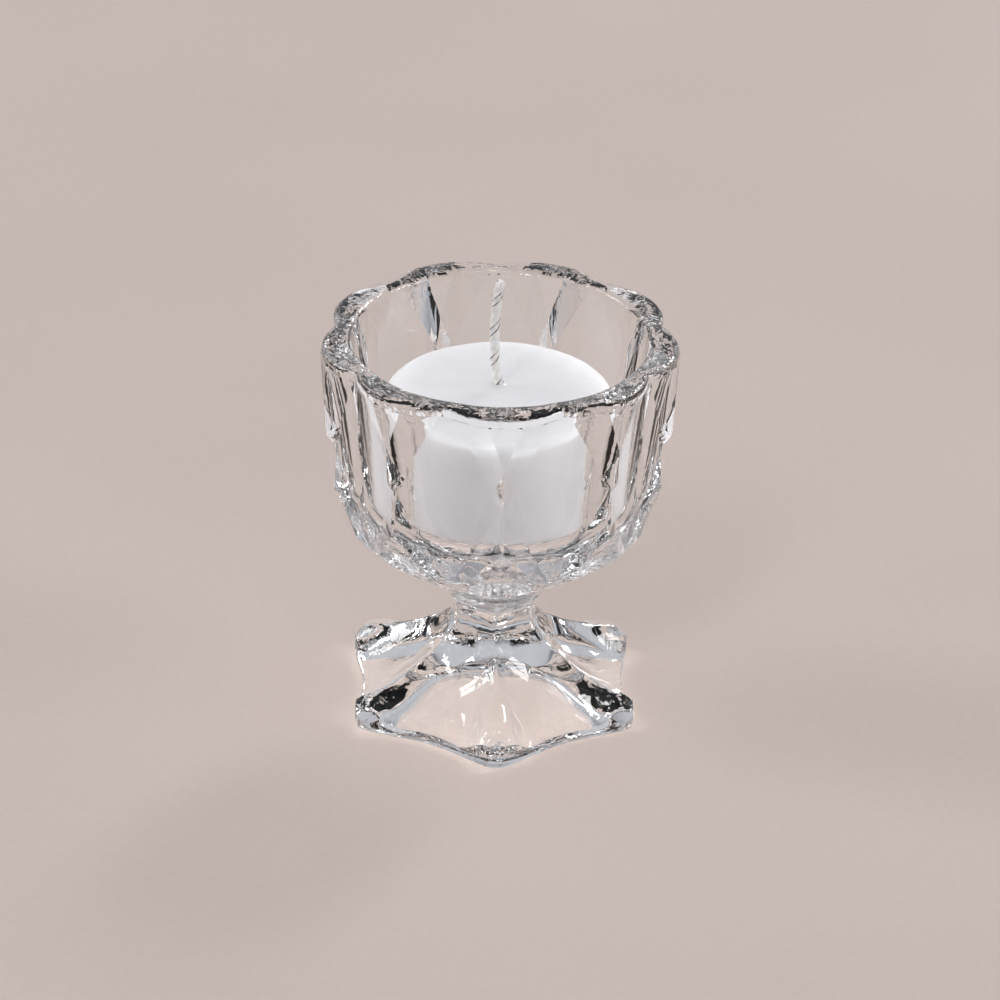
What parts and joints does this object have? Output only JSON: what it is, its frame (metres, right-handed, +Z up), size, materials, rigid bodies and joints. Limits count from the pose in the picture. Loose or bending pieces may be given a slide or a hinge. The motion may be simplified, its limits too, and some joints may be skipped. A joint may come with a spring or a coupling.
{
  "type": "tealight holder",
  "caption": "Footed clear glass tealight holder with a faceted bowl on a six-cornered foot, holding a bare white tealight candle.",
  "frame": {"origin": "on the table, at the axis of the holder, level with the underside of the foot", "axes": "+Z up along the axis of bowl and foot, -Y towards the front, where a corner of the foot points"},
  "size_m": [0.0616, 0.0608, 0.0797],
  "materials": {
    "clear_glass": "fire-polished, clear",
    "wax": "smooth white candle wax, slightly translucent",
    "wick_cotton": "waxed braided cotton",
    "tin": "thin tinned steel"
  },
  "bodies": {
    "holder": {"glass_holder": "clear_glass"},
    "candle": {"candle_wax": "wax", "wick": "wick_cotton", "wick_sustainer": "tin"}
  },
  "joints": [
    {"name": "candle_lift", "type": "slide", "parent": "holder", "child": "candle", "axis": [0, 0, 1], "range_m": [0, 0.055]}
  ]
}
